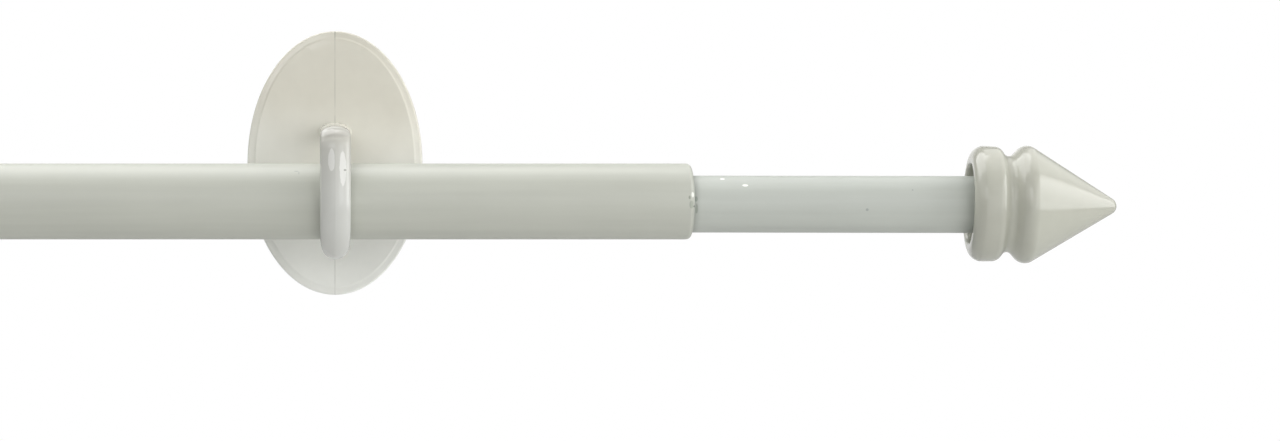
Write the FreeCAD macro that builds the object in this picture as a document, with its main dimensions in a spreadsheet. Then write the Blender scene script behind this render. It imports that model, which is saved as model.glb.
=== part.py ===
import FreeCAD, Part
import math
import os
import Sketcher

# Telescopic curtain rod on two stick-on wall brackets, in millimetres.
# X runs along the rod, Y points at the wall, Z is up.
# The origin is the middle of the right bracket's adhesive pad, on the wall.

doc = FreeCAD.newDocument("curtain_rod_with_brackets")

driving_sizes = {
    # outer tube, with its mouth rolled in
    "outer_diameter": 12.0,
    "outer_wall": 0.5,
    "outer_length": 300.0,
    "mouth_gap": 0.1,
    "mouth_lip": 0.6,
    "mouth_rounding": 0.8,
    # inner tube and the plug that guides and stops it
    "slide_room": 1.0,
    "inner_wall": 0.5,
    "inner_length": 280.0,
    "inner_shown": 44.0,
    "inner_drop": 0.4,
    "tube_edge": 0.15,
    "plug_gap": 0.1,
    "plug_head_length": 11.0,
    "plug_shank_length": 14.0,
    "plug_shank_gap": 0.03,
    "plug_hole": 5.0,
    "plug_slot": 1.2,
    "plug_slot_length": 8.0,
    "plug_nose": 0.8,
    # finials, the same moulding at both ends
    "finial_length": 22.85,
    "bead_diameter": 18.28,
    "bead_length": 4.4,
    "bead_rounding": 1.1,
    "rear_rim": 1.25,
    "socket_edge_rounding": 1.2,
    "groove_start": 5.5,
    "groove_end": 6.4,
    "groove_diameter": 15.2,
    "groove_rounding": 0.4,
    "ridge_at": 8.45,
    "ridge_rounding": 1.9,
    "cone_angle": 32.2,
    "tip_rounding": 1.35,
    "socket_gap": 0.25,
    "wide_socket_depth": 7.0,
    "narrow_socket_depth": 12.2,
    "socket_floor_gap": 0.5,
    "finial_droop": 1.2,
    "finial_swing": 4.8,
    # wall brackets
    "rod_standoff": 20.0,
    "plate_rise": 6.4,
    "plate_width": 28.6,
    "plate_height": 43.1,
    "plate_thickness": 2.6,
    "plate_rounding": 0.9,
    "pad_thickness": 1.0,
    "pad_inset": 1.6,
    "hook_width": 4.8,
    "hook_thickness": 2.9,
    "hook_gap": 0.3,
    "hook_bend": 2.4,
    "hook_end_rounding": 0.8,
    "hook_root_rounding": 0.8,
    "arm_root_rise": 11.5,
    "arm_root_depth": 1.0,
    "front_height": 8.0,
    "lip_angle": 30.0,
    # how far each end of the outer tube stands out past its bracket
    "mouth_past_bracket": 56.0,
    "end_past_bracket": 54.0,
}

sheet = doc.addObject("Spreadsheet::Sheet", "sizes")
for row, (alias, number) in enumerate(driving_sizes.items(), start=1):
    sheet.set("A%d" % row, alias)
    sheet.set("B%d" % row, str(number))
    sheet.setAlias("B%d" % row, alias)
doc.recompute()


def value(expression):
    return float(sheet.evalExpression(expression))


# Lengths that several pieces share, worked out from the sheet.
outer_radius = "sizes.outer_diameter / 2"
bore_radius = "(sizes.outer_diameter / 2 - sizes.outer_wall)"
inner_radius = "(sizes.outer_diameter / 2 - sizes.outer_wall - sizes.slide_room)"
inner_bore_radius = "(%s - sizes.inner_wall)" % inner_radius
mouth_radius = "(%s + sizes.inner_drop + sizes.mouth_gap)" % inner_radius
wide_socket_radius = "(sizes.outer_diameter / 2 + sizes.socket_gap)"
narrow_socket_radius = "(%s + sizes.socket_gap)" % inner_radius
inner_in_finial = "(sizes.narrow_socket_depth - sizes.socket_floor_gap)"
outer_in_finial = "(sizes.wide_socket_depth - sizes.socket_floor_gap)"
inner_hidden = "(sizes.inner_length - sizes.inner_shown - %s)" % inner_in_finial
tip_flat = "(sizes.tip_rounding * tan(45 - sizes.cone_angle / 2) * 1.03)"
hook_radius = "(sizes.outer_diameter / 2 + sizes.hook_gap + sizes.hook_thickness / 2)"
plate_back = "(sizes.rod_standoff - sizes.pad_thickness)"
plate_front = "(sizes.rod_standoff - sizes.pad_thickness - sizes.plate_thickness)"


def new_body(label):
    body = doc.addObject("PartDesign::Body", label)
    body.Label = label
    return body


def origin_plane(body, role):
    for feature in body.Origin.OriginFeatures:
        if feature.Role == role:
            return feature
    raise ValueError("no origin plane " + role)


def new_sketch(body, role, name, offset=None):
    sketch = body.newObject("Sketcher::SketchObject", name)
    sketch.AttachmentSupport = (origin_plane(body, role), [""])
    sketch.MapMode = "FlatFace"
    if offset is not None:
        sketch.setExpression("AttachmentOffset.Base.z", offset)
    return sketch


def fix_point(sketch, geometry, end, across, up):
    for kind, expression in (("DistanceX", across), ("DistanceY", up)):
        index = sketch.addConstraint(
            Sketcher.Constraint(kind, -1, 1, geometry, end, value(expression))
        )
        sketch.setExpression("Constraints[%d]" % index, expression)


def draw_outline(sketch, corners):
    points = [FreeCAD.Vector(value(across), value(up), 0) for across, up in corners]
    count = len(points)
    for number in range(count):
        ends = (points[number], points[(number + 1) % count])
        sketch.addGeometry(Part.LineSegment(*ends), False)
    for number in range(count):
        sketch.addConstraint(
            Sketcher.Constraint("Coincident", number, 2, (number + 1) % count, 1)
        )
    for number, (across, up) in enumerate(corners):
        fix_point(sketch, number, 1, across, up)


def draw_ellipse(sketch, width, height, rise):
    half_width = value(width) / 2
    half_height = value(height) / 2
    centre = FreeCAD.Vector(0, value(rise), 0)
    across = centre + FreeCAD.Vector(half_width, 0, 0)
    up = centre + FreeCAD.Vector(0, half_height, 0)
    long_end, short_end = (up, across) if half_height > half_width else (across, up)
    oval = sketch.addGeometry(Part.Ellipse(long_end, short_end, centre), False)
    sketch.exposeInternalGeometry(oval)
    long_axis, short_axis = oval + 1, oval + 2
    sizes = (height, width) if half_height > half_width else (width, height)
    for axis, length in zip((long_axis, short_axis), sizes):
        index = sketch.addConstraint(
            Sketcher.Constraint("Distance", axis, 1, axis, 2, value(length))
        )
        sketch.setExpression("Constraints[%d]" % index, length)
    direction = "Vertical" if half_height > half_width else "Horizontal"
    sketch.addConstraint(Sketcher.Constraint(direction, long_axis))
    fix_point(sketch, oval, 3, "0", rise)


def revolve(body, sketch, name):
    solid = body.newObject("PartDesign::Revolution", name)
    solid.Profile = sketch
    solid.ReferenceAxis = (sketch, ["H_Axis"])
    solid.Angle = 360
    sketch.Visibility = False
    doc.recompute()
    return solid


def pad(body, sketch, name, length, midplane=False):
    solid = body.newObject("PartDesign::Pad", name)
    solid.Profile = sketch
    solid.setExpression("Length", length)
    solid.Midplane = midplane
    sketch.Visibility = False
    doc.recompute()
    return solid


def round_edges(body, base, name, radius, wanted):
    names = [
        "Edge%d" % number
        for number, edge in enumerate(base.Shape.Edges, start=1)
        if wanted(edge)
    ]
    fillet = body.newObject("PartDesign::Fillet", name)
    fillet.Base = (base, names)
    fillet.setExpression("Radius", radius)
    doc.recompute()
    return fillet


def ring(along, radius):
    """Picks the circle round the X axis at this place and with this radius."""
    place, size = value(along), value(radius)

    def wanted(edge):
        curve = edge.Curve
        return (
            curve.TypeId == "Part::GeomCircle"
            and abs(curve.Center.x - place) < 0.001
            and abs(curve.Radius - size) < 0.001
        )

    return wanted


def make_outer_tube():
    body = new_body("outer_tube")
    sketch = new_sketch(body, "XZ_Plane", "outer_tube_section")
    lip_start = "sizes.outer_length - sizes.mouth_lip"
    draw_outline(sketch, [
        ("0", bore_radius),
        ("0", outer_radius),
        ("sizes.outer_length", outer_radius),
        ("sizes.outer_length", mouth_radius),
        (lip_start, mouth_radius),
        (lip_start, bore_radius),
    ])
    tube = revolve(body, sketch, "outer_tube_turned")
    mouth = ring("sizes.outer_length", outer_radius)
    # the rounding leaves room for the softened inner edge of the mouth
    mouth_face = "(%s - %s - sizes.tube_edge)" % (outer_radius, mouth_radius)
    rounding = "min(sizes.mouth_rounding, 0.96 * %s)" % mouth_face
    rolled = round_edges(body, tube, "rolled_mouth", rounding, mouth)
    lip = ring("sizes.outer_length", mouth_radius)
    softened = round_edges(body, rolled, "mouth_edge", "sizes.tube_edge", lip)
    cut_end = ring("0", outer_radius)
    round_edges(body, softened, "cut_end_edge", "sizes.tube_edge", cut_end)
    return body


def make_inner_tube():
    body = new_body("inner_tube")
    sketch = new_sketch(body, "XZ_Plane", "inner_tube_section")
    draw_outline(sketch, [
        ("0", inner_bore_radius),
        ("0", inner_radius),
        ("sizes.inner_length", inner_radius),
        ("sizes.inner_length", inner_bore_radius),
    ])
    tube = revolve(body, sketch, "inner_tube_turned")
    near_end = ring("0", inner_radius)
    far_end = ring("sizes.inner_length", inner_radius)
    round_edges(
        body, tube, "tube_end_edges", "sizes.tube_edge",
        lambda edge: near_end(edge) or far_end(edge),
    )
    return body


def make_guide_plug():
    """A plastic plug in the hidden end of the inner tube: its slotted head runs in the
    outer tube and stops at the rolled mouth."""
    body = new_body("inner_tube_guide_plug")
    sketch = new_sketch(body, "XZ_Plane", "plug_section")
    head_radius = "(%s - sizes.plug_gap)" % bore_radius
    shank_radius = "(%s - sizes.plug_shank_gap)" % inner_bore_radius
    hole_radius = "sizes.plug_hole / 2"
    draw_outline(sketch, [
        ("-sizes.plug_head_length", hole_radius),
        ("-sizes.plug_head_length", "%s - sizes.plug_nose" % head_radius),
        ("-sizes.plug_head_length + sizes.plug_nose", head_radius),
        ("0", head_radius),
        ("0", shank_radius),
        ("sizes.plug_shank_length", shank_radius),
        ("sizes.plug_shank_length", hole_radius),
    ])
    turned = revolve(body, sketch, "plug_turned")
    # Two crossed slots split the head into four springy fingers.
    for role, name in (("XY_Plane", "upright_slot"), ("XZ_Plane", "level_slot")):
        slot_sketch = new_sketch(body, role, name + "_outline")
        slot_end = "-sizes.plug_head_length + sizes.plug_slot_length"
        draw_outline(slot_sketch, [
            ("-sizes.plug_head_length - 1", "-sizes.plug_slot / 2"),
            (slot_end, "-sizes.plug_slot / 2"),
            (slot_end, "sizes.plug_slot / 2"),
            ("-sizes.plug_head_length - 1", "sizes.plug_slot / 2"),
        ])
        before = turned.Shape.Volume
        turned = body.newObject("PartDesign::Pocket", name)
        turned.Profile = slot_sketch
        turned.Type = "ThroughAll"
        turned.Midplane = True
        slot_sketch.Visibility = False
        doc.recompute()
        if turned.Shape.Volume >= before:
            raise ValueError(name + " cut nothing")
    return body


def make_finial(label):
    """One hollow moulding: bead, groove and cone outside; inside, a wide step for the
    outer tube and a narrow bore for the inner tube."""
    body = new_body(label)
    sketch = new_sketch(body, "XZ_Plane", label + "_section")
    bead_radius = "sizes.bead_diameter / 2"
    groove_radius = "sizes.groove_diameter / 2"
    ridge_radius = (
        "%s + (sizes.finial_length - sizes.ridge_at) * tan(sizes.cone_angle)" % tip_flat
    )
    draw_outline(sketch, [
        ("0", wide_socket_radius),
        ("0", bead_radius),
        ("sizes.bead_length", bead_radius),
        ("sizes.groove_start", groove_radius),
        ("sizes.groove_end", groove_radius),
        ("sizes.ridge_at", ridge_radius),
        ("sizes.finial_length", tip_flat),
        ("sizes.finial_length", "0"),
        ("sizes.narrow_socket_depth", "0"),
        ("sizes.narrow_socket_depth", narrow_socket_radius),
        ("sizes.wide_socket_depth", narrow_socket_radius),
        ("sizes.wide_socket_depth", wide_socket_radius),
    ])
    shape = revolve(body, sketch, label + "_turned")
    rear_rounding = "%s - %s - sizes.rear_rim" % (bead_radius, wide_socket_radius)
    groove_ends = (
        ring("sizes.groove_start", groove_radius),
        ring("sizes.groove_end", groove_radius),
    )
    roundings = (
        ("rear_rounding", rear_rounding, ring("0", bead_radius)),
        ("socket_edge", "sizes.socket_edge_rounding", ring("0", wide_socket_radius)),
        ("bead_rounding", "sizes.bead_rounding", ring("sizes.bead_length", bead_radius)),
        ("ridge_rounding", "sizes.ridge_rounding", ring("sizes.ridge_at", ridge_radius)),
        ("groove_rounding", "sizes.groove_rounding",
         lambda edge: any(wanted(edge) for wanted in groove_ends)),
        ("tip_rounding", "sizes.tip_rounding", ring("sizes.finial_length", tip_flat)),
    )
    for name, radius, wanted in roundings:
        shape = round_edges(body, shape, label + "_" + name, radius, wanted)
    return body


def draw_hook_path(sketch):
    """Out from the plate above the rod, down in front of it and round under it."""
    radius = value(hook_radius)
    bend = value("sizes.hook_bend")
    start = FreeCAD.Vector(value(plate_front + " + sizes.arm_root_depth"),
                           value("sizes.arm_root_rise"), 0)
    bend_centre = FreeCAD.Vector(bend - radius, value("sizes.front_height"), 0)
    reach = start - bend_centre
    tangent = math.atan2(reach.y, reach.x) + math.acos(bend / reach.Length)
    touch = bend_centre + FreeCAD.Vector(math.cos(tangent), math.sin(tangent), 0) * bend
    lip_end = math.radians(270 + value("sizes.lip_angle"))
    front = FreeCAD.Vector(-radius, 0, 0)
    up = FreeCAD.Vector(0, 0, 1)
    arm = sketch.addGeometry(Part.LineSegment(start, touch), False)
    corner = sketch.addGeometry(
        Part.ArcOfCircle(Part.Circle(bend_centre, up, bend), tangent, math.pi), False
    )
    drop = sketch.addGeometry(
        Part.LineSegment(bend_centre - FreeCAD.Vector(bend, 0, 0), front), False
    )
    lip = sketch.addGeometry(
        Part.ArcOfCircle(Part.Circle(FreeCAD.Vector(), up, radius), math.pi, lip_end),
        False,
    )
    sketch.addConstraint(Sketcher.Constraint("Tangent", arm, 2, corner, 1))
    sketch.addConstraint(Sketcher.Constraint("Tangent", corner, 2, drop, 1))
    sketch.addConstraint(Sketcher.Constraint("Tangent", drop, 2, lip, 1))
    sketch.addConstraint(Sketcher.Constraint("Vertical", drop))
    sketch.addConstraint(Sketcher.Constraint("Coincident", lip, 3, -1, 1))
    fix_point(sketch, arm, 1, plate_front + " + sizes.arm_root_depth",
              "sizes.arm_root_rise")
    for kind, where, expression in (
        ("Radius", (corner,), "sizes.hook_bend"),
        ("Radius", (lip,), hook_radius),
        ("DistanceY", (-1, 1, drop, 1), "sizes.front_height"),
        ("DistanceX", (-1, 1, lip, 2), hook_radius + " * sin(sizes.lip_angle)"),
    ):
        index = sketch.addConstraint(
            Sketcher.Constraint(kind, *where, value(expression))
        )
        sketch.setExpression("Constraints[%d]" % index, expression)


def make_bracket(label):
    """One moulding: an oval plate and a hook whose lip carries the rod. Its own
    zero is the rod's axis."""
    body = new_body(label)
    oval = new_sketch(body, "XZ_Plane", label + "_plate_outline", "-" + plate_back)
    draw_ellipse(oval, "sizes.plate_width", "sizes.plate_height", "sizes.plate_rise")
    plate = pad(body, oval, label + "_plate", "sizes.plate_thickness")
    front = value(plate_front)

    def on_front_face(edge):
        return all(abs(vertex.Point.y - front) < 0.001 for vertex in edge.Vertexes)

    plate = round_edges(
        body, plate, label + "_plate_rim", "sizes.plate_rounding", on_front_face
    )
    section = new_sketch(
        body, "XZ_Plane", label + "_hook_section",
        "-(%s + sizes.arm_root_depth)" % plate_front,
    )
    draw_ellipse(section, "sizes.hook_width", "sizes.hook_thickness",
                 "sizes.arm_root_rise")
    path = new_sketch(body, "YZ_Plane", label + "_hook_path")
    draw_hook_path(path)
    doc.recompute()
    hook = body.newObject("PartDesign::AdditivePipe", label + "_hook")
    hook.Profile = section
    hook.Spine = path
    section.Visibility = False
    path.Visibility = False
    doc.recompute()
    lip_end = FreeCAD.Vector(
        0,
        value(hook_radius + " * sin(sizes.lip_angle)"),
        -value(hook_radius + " * cos(sizes.lip_angle)"),
    )
    end_face = min(hook.Shape.Faces,
                   key=lambda face: (face.CenterOfMass - lip_end).Length)
    end_edges = end_face.Edges
    hook = round_edges(
        body, hook, label + "_lip_end", "sizes.hook_end_rounding",
        lambda edge: any(edge.isSame(other) for other in end_edges),
    )
    near_arm = value("sizes.hook_width")
    root = FreeCAD.Vector(0, front, value("sizes.arm_root_rise"))

    def on_root(edge):
        middle = edge.BoundBox.Center
        return on_front_face(edge) and (middle - root).Length < near_arm

    round_edges(body, hook, label + "_root", "sizes.hook_root_rounding", on_root)
    return body


def make_pad(label):
    body = new_body(label)
    oval = new_sketch(body, "XZ_Plane", label + "_outline", "-sizes.rod_standoff")
    draw_ellipse(
        oval, "sizes.plate_width - 2 * sizes.pad_inset",
        "sizes.plate_height - 2 * sizes.pad_inset", "sizes.plate_rise",
    )
    pad(body, oval, label + "_foam", "sizes.pad_thickness")
    return body


# Where things stand, in the part's own frame.
rod_y = -value("sizes.rod_standoff")
rod_z = -value("sizes.plate_rise")
mouth_x = value("sizes.mouth_past_bracket")
hidden = value(inner_hidden)
drop = value("sizes.inner_drop")
tilt = math.degrees(math.atan2(drop, hidden))
lengthwise = FreeCAD.Vector(1, 0, 0)
crosswise = FreeCAD.Vector(0, 1, 0)
upright = FreeCAD.Vector(0, 0, 1)


def place(body, point, rotation=FreeCAD.Rotation()):
    body.Placement = FreeCAD.Placement(point, rotation)


outer_tube = make_outer_tube()
outer_end = FreeCAD.Vector(mouth_x - value("sizes.outer_length"), rod_y, rod_z)
place(outer_tube, outer_end)

# The plug keeps the hidden end of the inner tube centred, and the other end lies low
# in the mouth.
inner_tilt = FreeCAD.Rotation(crosswise, tilt)
inner_end = FreeCAD.Vector(mouth_x - hidden, rod_y, rod_z)
inner_tube = make_inner_tube()
place(inner_tube, inner_end, inner_tilt)
guide_plug = make_guide_plug()
place(guide_plug, inner_end, inner_tilt)


def place_finial(body, tube_end, outward, start, depth, swing=0.0):
    """Hangs a finial on a tube end: its tip droops, and may swing out from the wall,
    about the middle of the grip, which runs from start to depth inside the finial."""
    grip = (start + depth) / 2
    pivot = tube_end + outward * (grip - depth)
    turn = 0 if outward.x > 0 else 180
    side = 1 if outward.x > 0 else -1
    droop = FreeCAD.Rotation(crosswise, side * value("sizes.finial_droop"))
    rotation = droop * FreeCAD.Rotation(upright, turn - side * swing)
    place(body, pivot - rotation.multVec(lengthwise * grip), rotation)


finial_right = make_finial("finial_right")
inner_axis = inner_tilt.multVec(lengthwise)
place_finial(
    finial_right, inner_end + inner_axis * value("sizes.inner_length"), inner_axis,
    value("sizes.wide_socket_depth"), value(inner_in_finial),
    value("sizes.finial_swing"),
)
finial_left = make_finial("finial_left")
place_finial(
    finial_left, outer_end, -lengthwise,
    value("sizes.socket_edge_rounding"), value(outer_in_finial),
)

far_bracket_x = outer_end.x + value("sizes.end_past_bracket")
for side, bracket_x in (("right", 0.0), ("left", far_bracket_x)):
    rod_point = FreeCAD.Vector(bracket_x, rod_y, rod_z)
    place(make_bracket("bracket_" + side), rod_point)
    place(make_pad("adhesive_pad_" + side), rod_point)

doc.recompute()

for item in doc.Objects:
    if "Invalid" in item.State or "Error" in item.State:
        raise ValueError("%s failed: %s" % (item.Name, item.State))

os.makedirs("parts", exist_ok=True)
for item in doc.Objects:
    if item.TypeId == "PartDesign::Body":
        if item.Shape.isNull() or not item.Shape.isValid():
            raise ValueError(item.Label + " has no valid shape")
        item.Shape.exportStep(os.path.join("parts", item.Label + ".step"))
        box = item.Shape.BoundBox
        print("%-22s %2d solid  %9.1f mm3  x %8.2f..%7.2f  y %7.2f..%6.2f  z %7.2f..%6.2f" % (
            item.Label, len(item.Shape.Solids), item.Shape.Volume,
            box.XMin, box.XMax, box.YMin, box.YMax, box.ZMin, box.ZMax,
        ))
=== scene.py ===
import math
import bmesh
import bpy
from mathutils import Matrix, Vector


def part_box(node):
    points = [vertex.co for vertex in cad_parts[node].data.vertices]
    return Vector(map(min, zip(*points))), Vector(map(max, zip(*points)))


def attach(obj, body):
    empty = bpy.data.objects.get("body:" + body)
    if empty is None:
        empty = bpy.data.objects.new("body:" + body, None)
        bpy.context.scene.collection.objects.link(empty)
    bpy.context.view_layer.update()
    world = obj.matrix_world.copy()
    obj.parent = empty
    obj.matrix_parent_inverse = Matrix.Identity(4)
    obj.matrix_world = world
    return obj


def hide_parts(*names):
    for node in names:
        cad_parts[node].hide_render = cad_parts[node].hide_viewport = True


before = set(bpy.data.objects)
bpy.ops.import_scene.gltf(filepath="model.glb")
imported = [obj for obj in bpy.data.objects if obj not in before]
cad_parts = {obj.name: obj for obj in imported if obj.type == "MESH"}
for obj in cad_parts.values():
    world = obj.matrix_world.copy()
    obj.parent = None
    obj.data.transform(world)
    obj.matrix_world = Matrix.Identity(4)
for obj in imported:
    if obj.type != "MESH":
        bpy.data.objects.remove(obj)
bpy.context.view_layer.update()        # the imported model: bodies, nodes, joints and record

mm = 0.001
scene = bpy.context.scene
scene.view_settings.view_transform = "Standard"


def boxOf(node):
    low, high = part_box(node)
    return Vector(low), Vector(high)


def centreOf(node):
    low, high = boxOf(node)
    return (low + high) / 2


rodAxis = centreOf("outer_tube")


def ringEdges(bm, along, radius):
    # the edges of the circle at this place along X, with this radius
    near = 2e-6

    def onRing(vert):
        return (abs(vert.co.x - along) < near
                and abs(math.hypot(vert.co.y, vert.co.z) - radius) < near)

    return [edge for edge in bm.edges if all(onRing(vert) for vert in edge.verts)]


def bevelEdges(bm, edges, width, segments):
    return bmesh.ops.bevel(bm, geom=edges, offset=width, offset_type="OFFSET",
                           segments=segments, profile=0.5, affect="EDGES",
                           clamp_overlap=False, material=-1)


def turnProfile(corners, steps):
    # corners: (along X, radius, rounding, segments) in mm; the closed outline is spun round X
    bm = bmesh.new()
    verts = [bm.verts.new((along * mm, 0, radius * mm)) for along, radius, _, _ in corners]
    edges = [bm.edges.new(pair) for pair in zip(verts, verts[1:] + verts[:1])]
    bmesh.ops.spin(bm, geom=verts + edges, cent=(0, 0, 0), axis=(1, 0, 0),
                   angle=2 * math.pi, steps=steps, use_merge=True)
    bmesh.ops.remove_doubles(bm, verts=bm.verts, dist=1e-7)
    bmesh.ops.recalc_face_normals(bm, faces=bm.faces)
    count = len(corners)
    for index, (along, radius, rounding, segments) in enumerate(corners):
        if not rounding:
            continue
        before = Vector(corners[index - 1][:2])
        after = Vector(corners[(index + 1) % count][:2])
        here = Vector((along, radius))
        turn = (here - before).angle(after - here)
        bevelEdges(bm, ringEdges(bm, along * mm, radius * mm),
                   rounding * math.tan(turn / 2) * mm, segments)
    return bm


def addPiece(name, bm, body, node, material, sharpest=40):
    # edges that turn more than this many degrees stay sharp
    for face in bm.faces:
        face.smooth = True
    for edge in bm.edges:
        edge.smooth = edge.calc_face_angle(0) < math.radians(sharpest)
    mesh = bpy.data.meshes.new(name)
    bm.to_mesh(mesh)
    bm.free()
    mesh.materials.append(material)
    piece = bpy.data.objects.new(name, mesh)
    scene.collection.objects.link(piece)
    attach(piece, body)
    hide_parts(node)
    return piece


def turnMesh(bm, angle, axis):
    bmesh.ops.rotate(bm, verts=bm.verts, cent=(0, 0, 0), matrix=Matrix.Rotation(angle, 3, axis))


def centreOnNode(bm, node):
    # moves the mesh so that the middle of its box is the middle of the node's box
    points = [vert.co for vert in bm.verts]
    middle = Vector((0, 0, 0))
    for axis in range(3):
        values = [point[axis] for point in points]
        middle[axis] = (min(values) + max(values)) / 2
    bmesh.ops.translate(bm, verts=bm.verts, vec=centreOf(node) - middle)


class Signal:
    # a socket that can be added, subtracted and multiplied like a number
    def __init__(self, tree, socket):
        self.tree = tree
        self.socket = socket

    def maths(self, operation, first, second):
        node = self.tree.nodes.new("ShaderNodeMath")
        node.operation = operation
        for target, source in zip(node.inputs, (first, second)):
            if isinstance(source, Signal):
                self.tree.links.new(source.socket, target)
            else:
                target.default_value = source
        return Signal(self.tree, node.outputs[0])

    def __add__(self, other):
        return self.maths("ADD", self, other)

    def __radd__(self, other):
        return self.maths("ADD", other, self)

    def __sub__(self, other):
        return self.maths("SUBTRACT", self, other)

    def __rsub__(self, other):
        return self.maths("SUBTRACT", other, self)

    def __mul__(self, other):
        return self.maths("MULTIPLY", self, other)

    def __rmul__(self, other):
        return self.maths("MULTIPLY", other, self)


class Surface:
    # a material with one Principled shader, whose even values are set on its sockets
    def __init__(self, name, **even):
        self.material = bpy.data.materials.new(name)
        self.material.use_nodes = True
        self.tree = self.material.node_tree
        self.shader = self.tree.nodes["Principled BSDF"]
        for socket, number in even.items():
            self.shader.inputs[socket.replace("_", " ")].default_value = number
        self.place = self.node("ShaderNodeTexCoord", output="Object")

    def node(self, kind, settings=None, inputs=None, output=0):
        made = self.tree.nodes.new(kind)
        for key, setting in (settings or {}).items():
            setattr(made, key, setting)
        for key, source in (inputs or {}).items():
            if isinstance(source, Signal):
                self.tree.links.new(source.socket, made.inputs[key])
            else:
                made.inputs[key].default_value = source
        return Signal(self.tree, made.outputs[output])

    def feed(self, socket, signal):
        self.tree.links.new(signal.socket, self.shader.inputs[socket])

    def mapped(self, scale):
        return self.node("ShaderNodeMapping", inputs={"Vector": self.place, "Scale": scale})

    def split(self, vector):
        made = self.tree.nodes.new("ShaderNodeSeparateXYZ")
        self.tree.links.new(vector.socket, made.inputs[0])
        return [Signal(self.tree, made.outputs[axis]) for axis in range(3)]

    def grey(self, amount):
        return self.node("ShaderNodeCombineColor", inputs={0: amount, 1: amount, 2: amount})

    def noise(self, scale, detail, place=None):
        return self.node("ShaderNodeTexNoise", inputs={
            "Vector": place or self.place, "Scale": scale, "Detail": detail})

    def ramp(self, signal, low, high, start=0.0, end=1.0, smooth=True):
        return self.node("ShaderNodeMapRange",
                         {"interpolation_type": "SMOOTHSTEP" if smooth else "LINEAR"},
                         {"Value": signal, "From Min": low, "From Max": high,
                          "To Min": start, "To Max": end})

    def blend(self, amount, first, second, how="MIX"):
        made = self.tree.nodes.new("ShaderNodeMix")
        made.data_type = "RGBA"
        made.blend_type = how
        # a colour mix has its factor in socket 0 and its colours in sockets 6 and 7
        for place, source in ((0, amount), (6, first), (7, second)):
            if isinstance(source, Signal):
                self.tree.links.new(source.socket, made.inputs[place])
            else:
                made.inputs[place].default_value = (*source, 1) if place else source
        return Signal(self.tree, made.outputs[2])

    def spot(self, centre, size, wobble=0.35, edge=0.3):
        # 1 inside a ragged patch of this size (mm, per axis) round this point (m)
        scale = tuple(1 / (part * mm) for part in size)
        moved = self.node("ShaderNodeVectorMath", {"operation": "SUBTRACT"},
                          {0: self.place, 1: tuple(centre)})
        scaled = self.node("ShaderNodeVectorMath", {"operation": "MULTIPLY"},
                           {0: moved, 1: scale})
        far = self.node("ShaderNodeVectorMath", {"operation": "LENGTH"},
                        {0: scaled}, output="Value")
        ragged = far + wobble * (self.noise(1500, 3) - 0.5)
        return self.ramp(ragged, 1 - edge, 1.0, 1.0, 0.0)

    def bump(self, height, strength, distance):
        normal = self.node("ShaderNodeBump", inputs={
            "Height": height, "Strength": strength, "Distance": distance})
        self.feed("Normal", normal)


def srgb(*parts):
    return tuple(part / 12.92 if part <= 0.04045 else ((part + 0.055) / 1.055) ** 2.4
                 for part in (number / 255 for number in parts))


lacquerLook = {
    "outer": srgb(188, 190, 180),
    "inner": srgb(185, 189, 182),
    "roughness": 0.42,
    "streak": 0.05,       # how much the drawn-tube streaks lighten and darken
    "peel": 0.12,         # strength of the orange peel
}


def lacquer(name, colour, paintedShade, marks):
    # paintedShade: stretches of painted shade along X, each from, to, and the shade before and
    # after it;
    # marks: centre, size, colour, strength and height
    look = lacquerLook
    surface = Surface(name, IOR=1.5)
    lengthwise = surface.mapped(scale=(0.04, 1, 1))
    streaks = surface.noise(700, 3, lengthwise)
    clouds = surface.noise(45, 3)
    shade = surface.ramp(streaks * 0.6 + clouds * 0.4, 0.3, 0.7, smooth=False)
    dark = tuple(part * (1 - look["streak"]) for part in colour)
    light = tuple(min(1, part * (1 + look["streak"])) for part in colour)
    paint = surface.blend(shade, dark, light)
    height = surface.noise(1100, 2) * 0.7 + surface.noise(260, 2) * 0.3
    along = surface.split(surface.place)[0]
    # painted shade: darkens these stretches along X
    for stretch in paintedShade:
        paint = surface.blend(1.0, paint, surface.grey(surface.ramp(along, *stretch)), "MULTIPLY")
    for centre, size, tint, strength, rise in marks:
        spot = surface.spot(centre, size)
        paint = surface.blend(spot * strength, paint, tint)
        height = height + spot * rise
    surface.feed("Base Color", paint)
    surface.feed("Roughness", surface.ramp(
        streaks, 0.25, 0.75, look["roughness"] - 0.04, look["roughness"] + 0.05))
    surface.bump(height, look["peel"], 0.00004)
    return surface.material


plasticLook = {
    # the colour low down and high up; on the bracket partly its real change in hue and partly
    # painted light, the lower part painted lighter against the shade under the rod
    "bracket": (srgb(243, 244, 238), srgb(213, 210, 197)),
    "finial": (srgb(185, 186, 174), srgb(186, 185, 174)),
    "hueAndShadeChange": (-0.012, 0.012),      # the heights between which it changes
    "front": 0.68,          # painted shade: the hook in front of the rod is painted this much darker than the plate, though both are one moulding
    "frontPaintedShadeChange": (-0.024, -0.018),    # the places along Y between which it changes
    "roughness": 0.13,
    "mark": 0.6,            # strength of specks and of the painted highlights and shade
    "speck": srgb(105, 108, 100),
    "seam": srgb(140, 142, 132),        # the mould's parting line
    "seamWidth": 0.13,      # in mm
}


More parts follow.
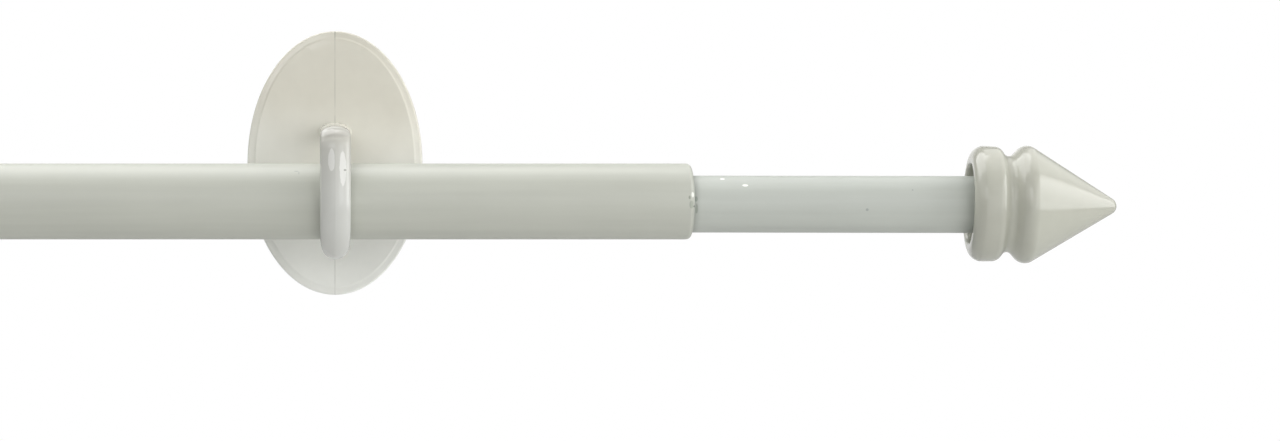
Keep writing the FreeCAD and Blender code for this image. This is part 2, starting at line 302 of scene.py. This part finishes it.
def mouldedPlastic(name, colours, seam=None, specks=(), paintedLightAndShade=()):
    look = plasticLook
    surface = Surface(name, IOR=1.48)
    place = surface.split(surface.place)
    clouds = surface.noise(60, 4)
    fine = surface.noise(600, 3)
    drift = place[2] + 0.03 * (surface.noise(45, 2) - 0.5)
    # partly painted light: the colour changes with height, lighter low down where the rod shades
    # the plate
    hueAndShade = surface.blend(surface.ramp(drift, *look["hueAndShadeChange"]), *colours)
    shade = surface.ramp(clouds * 0.75 + fine * 0.25, 0.3, 0.7, 0.95, 1.03, smooth=False)
    # painted shade: darkens the hook in front of the rod against the plate
    if seam:
        shade = shade * surface.ramp(place[1], *look["frontPaintedShadeChange"], look["front"], 1.0)
    paint = surface.blend(1.0, hueAndShade, surface.grey(shade), "MULTIPLY")
    height = surface.noise(170, 2) * 0.7 + fine * 0.15
    # painted highlights and painted shade in ragged patches
    for centre, size, colour in paintedLightAndShade:
        spot = surface.spot(centre, size, edge=0.1)
        paint = surface.blend(spot * look["mark"], paint, colour)
    for centre, size in specks:
        paint = surface.blend(surface.spot(centre, size) * look["mark"], paint, look["speck"])
    if seam:
        # the parting line runs up the middle of the plate; it fades in and out along its
        # length, stops at the hook and is deepest in the top rim
        middle, plateFront, rimTop = seam
        away = surface.node("ShaderNodeMath", {"operation": "ABSOLUTE"},
                            {0: place[0] - middle})
        half = look["seamWidth"] / 2 * mm
        along = surface.noise(1, 2, surface.mapped(scale=(0, 300, 300)))
        depth = (surface.ramp(along, 0.35, 0.6, 0.15, 0.6)
                 + surface.ramp(place[2], rimTop - 1.6 * mm, rimTop - 1.0 * mm, 0.0, 0.4))
        line = (surface.ramp(away, 0.4 * half, half, 1.0, 0.0) * depth
                * surface.ramp(place[1], plateFront - 0.6 * mm, plateFront - 0.3 * mm))
        paint = surface.blend(line, paint, look["seam"])
        height = height - line * 0.6
    surface.feed("Base Color", paint)
    surface.feed("Roughness", surface.ramp(
        clouds, 0.3, 0.7, look["roughness"] - 0.03, look["roughness"] + 0.05))
    surface.bump(height, 0.15, 0.0001)
    return surface.material


foamLook = {
    "colours": (srgb(205, 205, 198), srgb(236, 236, 230)),
    "cells": 2600,
    "roughness": 0.85,
}


def foam(name):
    look = foamLook
    surface = Surface(name, IOR=1.4, Roughness=look["roughness"])
    cells = surface.node("ShaderNodeTexVoronoi",
                         inputs={"Vector": surface.place, "Scale": look["cells"]})
    paint = surface.blend(surface.ramp(cells, 0.0, 0.6), *look["colours"])
    surface.feed("Base Color", paint)
    surface.bump(cells, 0.4, 0.0001)
    return surface.material


plugLook = {
    "colours": (srgb(214, 214, 208), srgb(232, 232, 226)),
    "roughness": (0.45, 0.6),
}


def plugPlastic(name):
    look = plugLook
    surface = Surface(name, IOR=1.46)
    clouds = surface.noise(300, 3)
    surface.feed("Base Color", surface.blend(clouds, *look["colours"]))
    surface.feed("Roughness", surface.ramp(clouds, 0.3, 0.7, *look["roughness"]))
    surface.bump(clouds, 0.2, 0.0001)
    return surface.material


outerTube = {
    "wall": 0.5,
    "mouthDiameter": 10.0,
    "lip": 0.6,
    "mouthRounding": 0.8,
    "lipRounding": 0.19,
    "endRounding": 0.15,
    "boreRounding": 0.1,
    "sides": 192,
    # scratches near the bracket, then a burr and dents at the mouth: place from the tube's
    # middle (m), size in mm, colour, strength, height
    "marks": [((0.0879, -0.0037, 0.0047), (0.4, 0.4, 0.07), srgb(120, 128, 128), 0.5, 0),
              ((0.0883, -0.0040, 0.0044), (0.07, 0.5, 0.3), srgb(120, 128, 128), 0.5, 0),
              ((0.1496, -0.0057, 0.0010), (0.26, 0.6, 0.5), srgb(245, 247, 240), 0.8, 1.5),
              ((0.1491, -0.0058, 0.0006), (0.2, 0.6, 0.35), srgb(118, 128, 112), 0.6, -1),
              ((0.1494, -0.0058, -0.0005), (0.4, 0.6, 0.7), srgb(135, 145, 130), 0.5, -1),
              ((0.1499, -0.0056, -0.0008), (0.2, 0.6, 0.2), srgb(60, 75, 60), 0.7, -1)],
    "paintedShade": (0.6, 0.1, 0.86),      # painted shade on the mouth's rim, toning down its highlight: from and to (mm back), and its shade
}


def makeOuterTube():
    size = outerTube
    low, high = boxOf("outer_tube")
    length = (high.x - low.x) / mm
    radius = (high.y - low.y) / 2 / mm
    bore = radius - size["wall"]
    mouth = size["mouthDiameter"] / 2
    bm = turnProfile([
        (0, bore, size["boreRounding"], 2),
        (0, radius, size["endRounding"], 3),
        (length, radius, size["mouthRounding"], 8),
        (length, mouth, size["lipRounding"], 4),
        (length - size["lip"], mouth, 0, 0),
        (length - size["lip"], bore, 0, 0),
    ], size["sides"])
    centreOnNode(bm, "outer_tube")
    # painted shade over the mouth's rim
    start, end, paintedShadeLevel = size["paintedShade"]
    material = lacquer("rodLacquer", lacquerLook["outer"],
                       [(high.x - start * mm, high.x - end * mm, 1.0, paintedShadeLevel)],
                       [(rodAxis + Vector(mark[0]), *mark[1:]) for mark in size["marks"]])
    return addPiece("outerTube", bm, "rod", "outer_tube", material)


innerTube = {
    "wall": 0.5,
    "endRounding": 0.15,
    "sides": 160,
    # chips and specks: mm along X from the mouth, degrees round from the top, size in mm,
    # colour, strength, height
    "marks": [(4.7, 29, (0.45, 0.25, 0.22), srgb(250, 250, 244), 1, 1.5),
              (8.1, 49.5, (0.52, 0.28, 0.28), srgb(250, 250, 244), 1, 1.5),
              (0.3, 80, (0.3, 0.4, 0.5), srgb(120, 130, 118), 0.6, 0),
              (0.4, 100, (0.25, 0.4, 1.0), srgb(130, 138, 126), 0.6, 0),
              (27.0, 101, (0.25, 0.25, 0.25), srgb(120, 128, 128), 0.5, 0),
              (34.2, 60, (0.15, 0.15, 0.15), srgb(120, 128, 128), 0.5, 0)],
    # painted shadow: a darker band beside the mouth, where the outer tube shades the inner one:
    # where it starts, is full, starts to end and has ended (mm past the mouth), and its shade
    "paintedShade": (-2.0, -1.0, 0.0, 1.3, 0.8),
}


def makeInnerTube():
    size = innerTube
    low, high = boxOf("inner_tube")
    radius = (high.y - low.y) / 2 / mm
    tilt = math.asin(((high.z - low.z) - (high.y - low.y)) / (high.x - low.x))
    length = (high.x - low.x) / mm
    bore = radius - size["wall"]
    bm = turnProfile([
        (0, bore, 0, 0),
        (0, radius, size["endRounding"], 3),
        (length, radius, size["endRounding"], 3),
        (length, bore, 0, 0),
    ], size["sides"])
    turnMesh(bm, tilt, "Y")
    centreOnNode(bm, "inner_tube")
    mouthX = boxOf("outer_tube")[1].x
    centre = centreOf("inner_tube")

    def onTube(along, turn, *rest):
        x = mouthX + along * mm
        drop = math.tan(tilt) * (x - centre.x)
        angle = math.radians(turn)
        return (Vector((x, centre.y - radius * mm * math.sin(angle),
                        centre.z - drop + radius * mm * math.cos(angle))), *rest)

    # painted shadow beside the mouth
    *places, paintedShadeLevel = size["paintedShade"]
    start, full, fading, end = (mouthX + place * mm for place in places)
    material = lacquer("innerLacquer", lacquerLook["inner"],
                       [(start, full, 1.0, paintedShadeLevel), (fading, end, 1.0, 1 / paintedShadeLevel)],
                       [onTube(*mark) for mark in size["marks"]])
    return addPiece("innerTube", bm, "extension", "inner_tube", material)


finial = {
    "length": 22.85,
    "beadRadius": 9.14,
    "beadEnd": 4.4,
    "crown": 0.22,          # how far the middle of the bead stands out
    "rearRounding": 2.05,
    "mouthRounding": 0.5,
    "grooveStart": 5.5,
    "grooveEnd": 6.4,
    "grooveRadius": 7.6,
    "ridgeAt": 8.45,
    "coneAngle": 32.2,
    "tipFlat": 0.768,
    "socketRadius": 6.25,
    "socketDepth": 7.0,
    "boreRadius": 4.75,
    "boreDepth": 12.2,
    "droop": 1.2,           # degrees that the right one hangs and turns on its tube
    "swing": 4.8,
    "sides": 192,
    # painted light: the socket is painted paler than the outside, so that its shade reads
    # lighter: how far in, size in mm, colour
    "pale": (3, (7, 6.6, 6.6), srgb(240, 240, 230)),
}


def makeFinial(name, node, body, pointsRight, material):
    size = finial
    reach = size["length"] - size["ridgeAt"]
    ridgeRadius = size["tipFlat"] + reach * math.tan(math.radians(size["coneAngle"]))
    bm = turnProfile([
        (0, size["socketRadius"], size["mouthRounding"], 10),
        (0, size["beadRadius"] - size["crown"], size["rearRounding"], 14),
        (size["beadEnd"] / 2, size["beadRadius"], 8, 8),
        (size["beadEnd"], size["beadRadius"] - size["crown"] / 2, 1.35, 10),
        (size["grooveStart"], size["grooveRadius"], 0.8, 6),
        (size["grooveEnd"], size["grooveRadius"], 0.8, 6),
        (size["ridgeAt"], ridgeRadius, 1.9, 14),
        (size["length"], size["tipFlat"], 1.35, 8),
        (size["length"], 0, 0, 0),
        (size["boreDepth"], 0, 0, 0),
        (size["boreDepth"], size["boreRadius"], 0, 0),
        (size["socketDepth"], size["boreRadius"], 0, 0),
        (size["socketDepth"], size["socketRadius"], 0, 0),
    ], size["sides"])
    swing = -math.radians(size["swing"]) if pointsRight else math.pi
    droop = math.radians(size["droop"] if pointsRight else -size["droop"])
    turnMesh(bm, swing, "Z")
    turnMesh(bm, droop, "Y")
    centreOnNode(bm, node)
    return addPiece(name, bm, body, node, material)


def ovalBlock(low, high, rings, sides):
    # an oval block facing -Y: rings of (inset from the oval, depth from the back) in mm,
    # joined from the back to the front and closed at both ends
    centre = (low + high) / 2
    halfX, halfZ = (high.x - low.x) / 2 / mm, (high.z - low.z) / 2 / mm
    bm = bmesh.new()
    inset, depth = rings[0]
    made = bmesh.ops.create_circle(bm, cap_ends=True, radius=1, segments=sides)
    turnMesh(bm, math.pi / 2, "X")
    bmesh.ops.scale(bm, verts=bm.verts, vec=(halfX - inset, 1, halfZ - inset))
    bmesh.ops.translate(bm, verts=bm.verts, vec=(0, -depth, 0))
    edges = bm.edges[:]
    for nextInset, nextDepth in rings[1:]:
        grown = bmesh.ops.extrude_edge_only(bm, edges=edges)["geom"]
        verts = [part for part in grown if isinstance(part, bmesh.types.BMVert)]
        edges = [part for part in grown if isinstance(part, bmesh.types.BMEdge)
                 and all(vert in verts for vert in part.verts)]
        shrink = ((halfX - nextInset) / (halfX - inset), 1,
                  (halfZ - nextInset) / (halfZ - inset))
        bmesh.ops.scale(bm, verts=verts, vec=shrink)
        bmesh.ops.translate(bm, verts=verts, vec=(0, depth - nextDepth, 0))
        inset, depth = nextInset, nextDepth
    bmesh.ops.contextual_create(bm, geom=edges)
    bmesh.ops.recalc_face_normals(bm, faces=bm.faces)
    bmesh.ops.scale(bm, verts=bm.verts, vec=(mm, mm, mm))
    bmesh.ops.translate(bm, verts=bm.verts, vec=(centre.x, high.y, centre.z))
    return bm


plate = {
    "thickness": 2.6,
    "corner": 0.4,          # rounding of the outer edge
    "rim": 1.0,             # width of the rim, seen from the front
    "step": 0.38,           # the slope up from the rim to the face: width and height
    "stepHeight": 0.2,
    "backRim": 0.25,
    "dome": 0.2,            # how far the middle of the face stands out
    "edgeDip": 0.08,        # how far the outer edge lies below the rim's inner side
    "cornerSteps": 6,
    "domeSteps": 12,
    "sides": 192,
}


def makePlate(node):
    size = plate
    low, high = boxOf(node)
    edge = size["backRim"]
    rings = [(edge, 0), (0.3 * edge, 0.3 * edge), (0, edge)]
    corner = size["corner"]
    shoulder = size["thickness"] - size["stepHeight"] - size["edgeDip"]
    for step in range(size["cornerSteps"] + 1):
        turn = math.pi / 2 * step / size["cornerSteps"]
        rings.append((corner * (1 - math.cos(turn)), shoulder - corner * (1 - math.sin(turn))))
    for share, rise in ((0, 0), (0.2, 0.1), (0.8, 0.9), (1, 1)):
        rings.append((size["rim"] + size["step"] * share,
                      size["thickness"] - size["stepHeight"] * (1 - rise)))
    start = size["rim"] + size["step"]
    inner = (high.x - low.x) / 2 / mm - start
    for step in range(1, size["domeSteps"]):
        share = step / size["domeSteps"]
        rings.append((start + inner * share,
                      size["thickness"] + size["dome"] * (1 - (1 - share) ** 2)))
    return ovalBlock(low, high, rings, size["sides"])


hook = {
    "width": 4.8,
    "thickness": 2.9,
    "reach": 7.75,          # from the rod's axis to the middle of the section round it
    # the outer line of the arm, from the plate: forward of the rod's axis, above it,
    # size of the section there
    "arm": [(-16.9, 13.0, 1.5), (-16.3, 13.0, 1.22), (-15.8, 12.95, 1.06), (-15.2, 12.92, 1.0),
            (-5.0, 12.42, 1.0), (4.6, 11.87, 1.0)],
    # the bend: middle and radius, degrees from the top, and wrinkles at some of them
    "bendAt": (5.2, 7.9),
    "bendRadius": 3.85,
    "bend": [4, 10, 16, 20, 24, 30, 38, 46, 52, 57, 63, 71, 79, 86],
    "wrinkles": {24: 0.13, 57: 0.13},
    "front": [(9.1, 6.0, 1.0), (9.18, 3.0, 1.0)],
    # the lip: degrees round the rod from straight ahead to its end, its width at some of
    # them, and where its thickness starts to go and would be gone
    "lip": [0, 9, 18, 27, 36, 45, 54, 63, 72, 81, 90, 98, 106, 110, 113.5, 116, 118, 119.2, 120],
    "lipWidth": [(0, 1.0), (40, 1.0), (60, 0.96), (75, 0.88), (90, 0.8), (106, 0.72),
                 (113, 0.66), (117.5, 0.52), (120, 0.26)],
    "lipTaper": (106, 120.6),
    "thinnest": 0.3,
    "squareness": 0.4,      # of the section down the front: 0 is an oval
    "crest": 0.2,           # how far the ridge down the front stands above its flanks
    "tipCrest": 0.45,       # and under the rod
    "crestChange": (50, 85),
    "crestFade": 2.5,       # mm of the bend over which it comes up
    "ridgeFrom": 7,         # mm ahead of the rod's axis
    "sides": 48,
    # marks on the front: place from the plate's middle line (m), size in mm
    "specks": [((0.0015, -0.0289, -0.0016), (0.28, 0.5, 0.16))],
    # painted light: two painted highlights down the front's flanks, then painted shade over the
    # bend
    "paintedLightAndShade": [((-0.0006, -0.0289, -0.0001), (0.55, 0.8, 1.9), srgb(232, 232, 228)),
              ((0.0011, -0.0286, -0.0015), (0.6, 0.8, 3.2), srgb(234, 234, 230)),
              ((0.0, -0.0265, 0.0053), (3.2, 4.0, 2.2), srgb(180, 178, 171))],
}


def between(table, place):
    for (start, first), (end, second) in zip(table, table[1:]):
        if place <= end:
            return first + (second - first) * (place - start) / (end - start)
    return table[-1][1]


def hookStations():
    # (outer point, direction inwards, stretch, width, thickness, crest, wrinkle)
    size = hook
    half = size["thickness"] / 2
    outer = half + size["reach"]
    top = size["bendAt"][1] + size["bendRadius"]
    line = [(Vector(entry[:2]), entry[2], 0) for entry in size["arm"]]
    for degrees in size["bend"]:
        turn = math.radians(degrees)
        away = size["bendRadius"] * Vector((math.sin(turn), math.cos(turn)))
        line.append((Vector(size["bendAt"]) + away, 1, size["wrinkles"].get(degrees, 0)))
    line += [(Vector(entry[:2]), entry[2], 0) for entry in size["front"]]
    points = [entry[0] for entry in line] + [Vector((outer, 0))]
    stations = []
    for index, (here, share, wrinkle) in enumerate(line):
        before = points[index - 1] if index else here - (points[1] - here)
        incoming = (here - before).normalized()
        outgoing = (points[index + 1] - here).normalized()
        travel = (incoming + outgoing).normalized()
        crest = size["crest"] * min(1, max(0, (top - here.y) / size["crestFade"]))
        stations.append((here, Vector((travel.y, -travel.x)), 1 / travel.dot(outgoing),
                         share, share, crest, wrinkle))
    taper, gone = size["lipTaper"]
    low, high = size["crestChange"]
    crests = [(0, size["crest"]), (low, size["crest"]), (high, size["tipCrest"])]
    for degrees in size["lip"]:
        turn = math.radians(degrees)
        ahead = Vector((math.cos(turn), -math.sin(turn)))
        share = between(size["lipWidth"], degrees)
        past = max(0, degrees - taper) / (gone - taper)
        thick = max(size["thinnest"], math.sqrt(1 - past ** 2))
        crest = between(crests, degrees) * thick
        stations.append((ahead * (outer - half + half * thick), -ahead, 1,
                         share, thick, crest, 0))
    return stations


def hookMesh(rodY, rodZ, centreX):
    size = hook
    halfWidth, halfThick = size["width"] / 2, size["thickness"] / 2
    bm = bmesh.new()
    rings = []
    for outer, inward, stretch, width, thick, crest, wrinkle in hookStations():
        ring = []
        for side in range(size["sides"]):
            turn = 2 * math.pi * side / size["sides"]
            aside, ahead = math.cos(turn), math.sin(turn)
            power = 2 + size["squareness"] * min(1, crest / size["crest"])
            reach = (abs(aside) ** power + abs(ahead) ** power) ** (-1 / power)
            across = halfWidth * width * aside * reach
            depth = halfThick * thick * (1 - ahead * reach) * stretch
            if ahead > 0:
                depth += crest * abs(aside) * reach + wrinkle * ahead * reach
            spot = outer + inward * depth
            ring.append(bm.verts.new(
                (centreX + across * mm, rodY - spot.x * mm, rodZ + spot.y * mm)))
        rings.append(ring)
    for near, far in zip(rings, rings[1:]):
        pairs = [(ring[side], ring[side - 1])
                 for ring in (near, far) for side in range(size["sides"])]
        edges = [bm.edges.get(pair) or bm.edges.new(pair) for pair in pairs]
        bmesh.ops.bridge_loops(bm, edges=edges)
    for ring in (rings[0], rings[-1]):
        bm.faces.new(ring)
    bmesh.ops.recalc_face_normals(bm, faces=bm.faces)
    return bm


def sharpenRidge(piece, centreX, frontY):
    # keeps the ridge down the middle of the front crisp
    verts = piece.data.vertices
    for edge in piece.data.edges:
        ends = [verts[index].co for index in edge.vertices]
        if all(abs(end.x - centreX) < 1e-6 and end.y < frontY for end in ends):
            edge.use_edge_sharp = True


def makeBracket(name, node, body, material):
    bm = makePlate(node)
    arm = hookMesh(rodAxis.y, rodAxis.z, centreOf(node).x)
    armMesh = bpy.data.meshes.new(name + "Arm")
    arm.to_mesh(armMesh)
    arm.free()
    bm.from_mesh(armMesh)
    bpy.data.meshes.remove(armMesh)
    piece = addPiece(name, bm, body, node, material, sharpest=35)
    sharpenRidge(piece, centreOf(node).x, rodAxis.y - hook["ridgeFrom"] * mm)
    flats = piece.modifiers.new("flats", "WEIGHTED_NORMAL")
    flats.keep_sharp = True
    return piece


pad = {
    "edge": 0.1,
    "sides": 128,
}


def makePad(name, node, body, material):
    low, high = boxOf(node)
    thick, edge = (high.y - low.y) / mm, pad["edge"]
    bm = ovalBlock(low, high, [(edge, 0), (0, edge), (0, thick - edge), (edge, thick)],
                   pad["sides"])
    return addPiece(name, bm, body, node, material)


makeOuterTube()
makeInnerTube()
print("tubes made")
for name, node, body, pointsRight in (("finialRight", "finial_right", "end_finial", True),
                                      ("finialLeft", "finial_left", "far_finial", False)):
    low, high = boxOf(node)
    # painted light in the socket
    depth, extent, colour = finial["pale"]
    centre = centreOf(node)
    centre.x = low.x + depth * mm if pointsRight else high.x - depth * mm
    makeFinial(name, node, body, pointsRight,
               mouldedPlastic(name + "Moulding", plasticLook["finial"],
                              paintedLightAndShade=[(centre, extent, colour)]))
print("finials made")
for side, body in (("Right", "wall_bracket"), ("Left", "far_bracket")):
    node = "bracket_" + side.lower()
    middle, wall, rimTop = centreOf(node).x, boxOf(node)[1].y, boxOf(node)[1].z
    mark = Vector((middle, 0, 0))
    # the bracket's moulding carries the painted highlights and shade of the hook
    makeBracket("bracket" + side, node, body, mouldedPlastic(
        "bracket%sMoulding" % side, plasticLook["bracket"],
        seam=(middle, wall - (plate["thickness"] + plate["dome"]) * mm, rimTop),
        specks=[(mark + Vector(speck), extent) for speck, extent in hook["specks"]],
        paintedLightAndShade=[(mark + Vector(tint), extent, colour) for tint, extent, colour in hook["paintedLightAndShade"]]))
print("brackets made")
padFoam = foam("padFoam")
makePad("padRight", "adhesive_pad_right", "wall_bracket", padFoam)
makePad("padLeft", "adhesive_pad_left", "far_bracket", padFoam)
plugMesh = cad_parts["inner_tube_guide_plug"].data
plugMesh.materials.clear()
plugMesh.materials.append(plugPlastic("plugMoulding"))
print("pads and plug made")


studio = {
    "imageWidth": 1280,
    "focal": 2900,          # for that width
    "distance": 0.457,      # from the rod's axis
    "cameraX": -0.0015,
    "cameraZ": -0.0094,
    "shiftX": 0.2455,
    "lampsAim": 0.05,       # along the rod
    "skyLight": 0.15,
    "groundLight": 0.25,
    "horizon": 0.35,        # the glow changes between this far below and above it
    "backdrop": (0.85, 0.97),       # where glossy rays start to see white, and see it fully
    "floorZ": -0.6,
    "floorGlow": 0.6,       # how much of the floor's look is its own pale backdrop
    "floorRadius": 2.2,
    "floorColours": (srgb(229, 229, 227), srgb(233, 233, 231)),
}

# name: (direction towards it, distance, width, height, radiance)
lamps = {
    "overheadLeft": ((-0.45, 0.31, 0.90), 0.75, 0.75, 0.95, 2.95),
    "overheadRight": ((0.45, 0.31, 0.90), 0.75, 0.75, 0.95, 1.0),
    "rightBox": ((0.55, -0.78, 0.22), 0.95, 0.62, 0.72, 1.65),
    "sideBox": ((0.93, -0.24, 0.22), 0.95, 0.62, 0.72, 3.3),
    "edgeBox": ((1.0, -0.06, 0.20), 0.95, 0.45, 0.64, 1.1),
    "leftBox": ((-0.67, -0.63, 0.39), 0.95, 1.35, 0.42, 0.7),
    "frontBox": ((-0.30, -0.88, 0.37), 0.85, 0.40, 0.32, 2.2),
    "fillBox": ((0.1, -1.0, 0.0), 1.3, 1.4, 0.8, 0.97),
}


def makeCamera():
    data = bpy.data.cameras.new("camera")
    data.sensor_width = 36
    data.lens = studio["focal"] * data.sensor_width / studio["imageWidth"]
    data.shift_x = studio["shiftX"]
    data.clip_start = 0.05
    data.clip_end = 20
    camera = bpy.data.objects.new("camera", data)
    camera.location = (studio["cameraX"], rodAxis.y - studio["distance"], studio["cameraZ"])
    camera.rotation_euler = (math.pi / 2, 0, 0)
    scene.collection.objects.link(camera)
    scene.camera = camera


def addSoftbox(name):
    # an evenly bright rectangle that faces the rod's telescoping end
    direction, distance, width, height, radiance = lamps[name]
    data = bpy.data.lights.new(name, "AREA")
    data.shape = "RECTANGLE"
    data.size = width
    data.size_y = height
    data.energy = radiance * math.pi * width * height
    lamp = bpy.data.objects.new(name, data)
    aim = Vector((studio["lampsAim"], rodAxis.y, rodAxis.z))
    lamp.location = aim + Vector(direction).normalized() * distance
    lamp.rotation_euler = (aim - lamp.location).to_track_quat("-Z", "Y").to_euler()
    scene.collection.objects.link(lamp)


def makeFloor():
    # pale, and seen through from below so that the underside can be looked at
    bm = bmesh.new()
    bmesh.ops.create_circle(bm, cap_ends=True, radius=studio["floorRadius"], segments=96)
    bmesh.ops.translate(bm, verts=bm.verts, vec=(0, 0, studio["floorZ"]))
    mesh = bpy.data.meshes.new("floor")
    bm.to_mesh(mesh)
    bm.free()
    surface = Surface("floorPaint", Roughness=0.9)
    surface.feed("Base Color", surface.blend(surface.noise(6, 3), *studio["floorColours"]))
    camera, glossy, through = (surface.node("ShaderNodeLightPath", output="Is %s Ray" % kind)
                               for kind in ("Camera", "Glossy", "Transmission"))
    seen = camera.maths("MAXIMUM", camera.maths("MAXIMUM", camera, through), glossy)
    pale = surface.node("ShaderNodeEmission", inputs={"Color": (1, 1, 1, 1), "Strength": 1.0})
    under = surface.node("ShaderNodeNewGeometry", output="Backfacing")
    clear = surface.node("ShaderNodeBsdfTransparent")

    def mix(factor, first, second):
        mixed = surface.tree.nodes.new("ShaderNodeMixShader")
        for place, source in enumerate((factor.socket, first, second.socket)):
            surface.tree.links.new(source, mixed.inputs[place])
        return mixed.outputs[0]

    top = mix(seen * studio["floorGlow"], surface.shader.outputs[0], pale)
    surface.tree.links.new(mix(under, top, clear),
                           surface.tree.nodes["Material Output"].inputs[0])
    mesh.materials.append(surface.material)
    floor = bpy.data.objects.new("floor", mesh)
    scene.collection.objects.link(floor)


def makeWorld():
    # white to the camera and through clear things; reflections see it as a backdrop behind
    # the object; elsewhere a soft glow that turns from the ground's to the sky's
    world = bpy.data.worlds.new("studio")
    scene.world = world
    world.use_nodes = True
    tree = world.node_tree
    nodes, links = tree.nodes, tree.links
    place = nodes.new("ShaderNodeTexCoord")
    split = nodes.new("ShaderNodeSeparateXYZ")
    links.new(place.outputs["Generated"], split.inputs[0])

    def fade(axis, low, high, start, end):
        made = nodes.new("ShaderNodeMapRange")
        made.interpolation_type = "SMOOTHSTEP"
        for key, number in (("From Min", low), ("From Max", high), ("To Min", start),
                            ("To Max", end)):
            made.inputs[key].default_value = number
        links.new(split.outputs[axis], made.inputs["Value"])
        return Signal(tree, made.outputs[0])

    glow = fade("Z", -studio["horizon"], studio["horizon"],
                studio["groundLight"], studio["skyLight"])
    behind = fade("Y", *studio["backdrop"], 0.0, 1.0)
    path = nodes.new("ShaderNodeLightPath")
    camera, glossy, through = (Signal(tree, path.outputs["Is %s Ray" % kind])
                               for kind in ("Camera", "Glossy", "Transmission"))
    white = camera.maths("MAXIMUM", camera.maths("MAXIMUM", camera, through), glossy * behind)
    strength = glow + white * (1 - glow)
    background = nodes["Background"]
    background.inputs["Color"].default_value = (1, 1, 1, 1)
    links.new(strength.socket, background.inputs["Strength"])


makeCamera()
makeFloor()
makeWorld()
for lampName in lamps:
    addSoftbox(lampName)
print("studio made")
